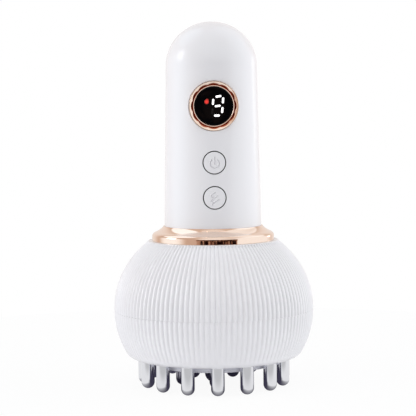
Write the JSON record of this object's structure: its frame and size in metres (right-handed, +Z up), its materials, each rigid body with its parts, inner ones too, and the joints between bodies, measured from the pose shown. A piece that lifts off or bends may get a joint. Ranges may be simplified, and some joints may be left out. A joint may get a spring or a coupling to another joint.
{
  "type": "handheld body massager",
  "caption": "Cordless body massager with a round display and buttons on a tapered grip, above a fluted ball head that stands on rings of heated metal pins.",
  "frame": {"origin": "on the vertical axis, in the plane of the outer pins' tips", "axes": "+Z up along the grip, display and buttons face -Y, X to the right seen from the front"},
  "size_m": [0.088, 0.088, 0.1597],
  "materials": {
    "white_plastic": "satin white moulded plastic",
    "button_plastic": "satin white moulded plastic",
    "base_plastic": "pale lavender white moulded plastic",
    "rose_gold": "polished rose gold plating",
    "pin_chrome": "polished chrome plating",
    "black_window": "polished black acrylic",
    "digit_light": "lit white light guide",
    "digit_dark": "unlit light guide",
    "heat_light": "lit red light guide",
    "black_plastic": "matt black plastic",
    "circuit_board": "green solder mask",
    "connector_plastic": "natural nylon",
    "chassis_plastic": "natural white plastic",
    "frame_plastic": "dark grey plastic",
    "screw_steel": "zinc plated steel",
    "motor_steel": "drawn steel",
    "weight_brass": "machined brass",
    "heater_aluminium": "milled aluminium",
    "heater_amber": "amber polyimide film",
    "cell_wrap": "blue heat shrink wrap",
    "soft_rubber": "moulded rubber",
    "red_wire": "red wire insulation",
    "black_wire": "black wire insulation",
    "yellow_wire": "yellow wire insulation"
  },
  "bodies": {
    "housing": {"handle_sleeve": "white_plastic", "display_bezel": "rose_gold", "display_window": "black_window", "digit_segments": "digit_light", "unlit_segment": "digit_dark", "heat_indicator": "heat_light", "display_module": "black_plastic", "control_board": "circuit_board", "board_chips": "black_plastic", "board_connectors": "connector_plastic", "board_screws": "screw_steel", "tact_switches": "black_plastic", "inner_chassis": "chassis_plastic", "battery_cell": "cell_wrap", "battery_tabs": "screw_steel", "battery_leads": "red_wire", "charge_board": "circuit_board", "charge_socket": "motor_steel", "charge_leads": "yellow_wire", "collar_ring": "rose_gold", "neck_screws": "screw_steel", "upper_head_shell": "white_plastic", "head_gasket": "soft_rubber", "lower_head_shell": "white_plastic", "base_plate": "base_plastic", "outer_pins": "pin_chrome", "inner_pins": "pin_chrome", "centre_stud": "pin_chrome", "heating_plate": "heater_aluminium", "heater_film": "heater_amber", "thermostat": "motor_steel", "heater_leads": "black_wire", "motor_frame": "frame_plastic", "frame_screws": "screw_steel", "motor_can": "motor_steel", "motor_boot": "soft_rubber", "motor_screws": "screw_steel", "motor_terminals": "weight_brass", "motor_leads": "red_wire"},
    "power_button": {"power_button": "button_plastic", "power_plunger": "black_plastic"},
    "mode_button": {"mode_button": "button_plastic", "mode_plunger": "black_plastic"},
    "motor_rotor": {"motor_shaft": "motor_steel", "eccentric_weight": "weight_brass"}
  },
  "joints": [
    {"name": "power_press", "type": "slide", "parent": "housing", "child": "power_button", "axis": [0, 1, 0], "range_m": [0, 0.0004], "stiffness_N_per_m": 2500, "springref_m": -0.0002},
    {"name": "mode_press", "type": "slide", "parent": "housing", "child": "mode_button", "axis": [0, 1, 0], "range_m": [0, 0.0004], "stiffness_N_per_m": 2500, "springref_m": -0.0002},
    {"name": "motor_spin", "type": "hinge", "parent": "housing", "child": "motor_rotor", "pos_m": [0, 0, 0.03], "axis": [0, 0, 1], "continuous": true}
  ]
}
